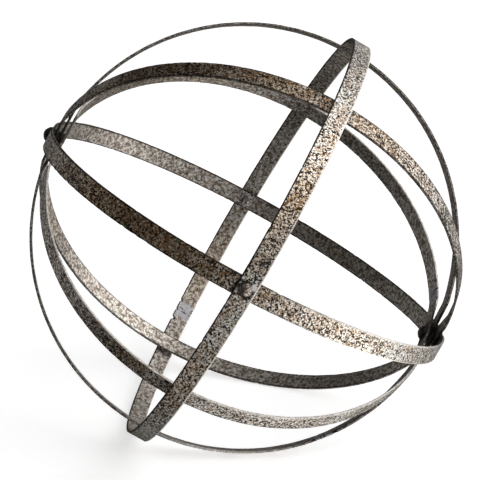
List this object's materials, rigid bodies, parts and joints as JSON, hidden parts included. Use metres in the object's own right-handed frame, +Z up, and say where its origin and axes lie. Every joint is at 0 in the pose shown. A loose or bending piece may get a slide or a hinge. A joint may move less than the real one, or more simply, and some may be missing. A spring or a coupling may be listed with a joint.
{
  "type": "armillary sphere",
  "caption": "Folding band sphere: nested meridian hoops riveted together at the poles, with an outer equator hoop that pivots on one of them.",
  "frame": {"origin": "on the surface that the sphere rests on, straight under its centre", "axes": "+Z up; +X level, the way the pole axis dips; -Y towards the front pivot's side, with the hoops fanned out as they are displayed"},
  "size_m": [0.2924, 0.305, 0.2758],
  "materials": {
    "hoop_strip": "antiqued silver-beige finish mottled with dark brown and rust flecks, dark at the edges",
    "pole_rivet": "blackened, satin",
    "pole_washer": "dulled steel",
    "pivot_rivet": "antiqued brown-grey, finely speckled"
  },
  "bodies": {
    "pivot_frame": {"outer_meridian_hoop": "hoop_strip", "upper_pole_rivet": "pole_rivet", "lower_pole_rivet": "pole_rivet", "upper_pole_washer_1": "pole_washer", "upper_pole_washer_2": "pole_washer", "upper_pole_washer_3": "pole_washer", "lower_pole_washer_1": "pole_washer", "lower_pole_washer_2": "pole_washer", "lower_pole_washer_3": "pole_washer", "front_pivot_rivet": "pivot_rivet", "rear_pivot_rivet": "pivot_rivet", "front_pivot_burr": "pivot_rivet", "rear_pivot_burr": "pivot_rivet"},
    "second_meridian": {"second_meridian_hoop": "hoop_strip"},
    "third_meridian": {"third_meridian_hoop": "hoop_strip"},
    "inner_meridian": {"inner_meridian_hoop": "hoop_strip"},
    "equator": {"equator_hoop": "hoop_strip"}
  },
  "joints": [
    {"name": "second_meridian_fan", "type": "hinge", "parent": "pivot_frame", "child": "second_meridian", "pos_m": [0, 0, 0.13793], "axis": [-0.8988, 0, 0.4384], "range_deg": [-45.8, 124.2]},
    {"name": "third_meridian_fan", "type": "hinge", "parent": "pivot_frame", "child": "third_meridian", "pos_m": [0, 0, 0.13793], "axis": [-0.8988, 0, 0.4384], "continuous": true},
    {"name": "inner_meridian_fan", "type": "hinge", "parent": "pivot_frame", "child": "inner_meridian", "pos_m": [0, 0, 0.13793], "axis": [-0.8988, 0, 0.4384], "continuous": true},
    {"name": "equator_swing", "type": "hinge", "parent": "pivot_frame", "child": "equator", "pos_m": [0, 0, 0.13793], "axis": [0.0956, -0.9759, 0.1961], "range_deg": [-83.2, 86.8]}
  ]
}
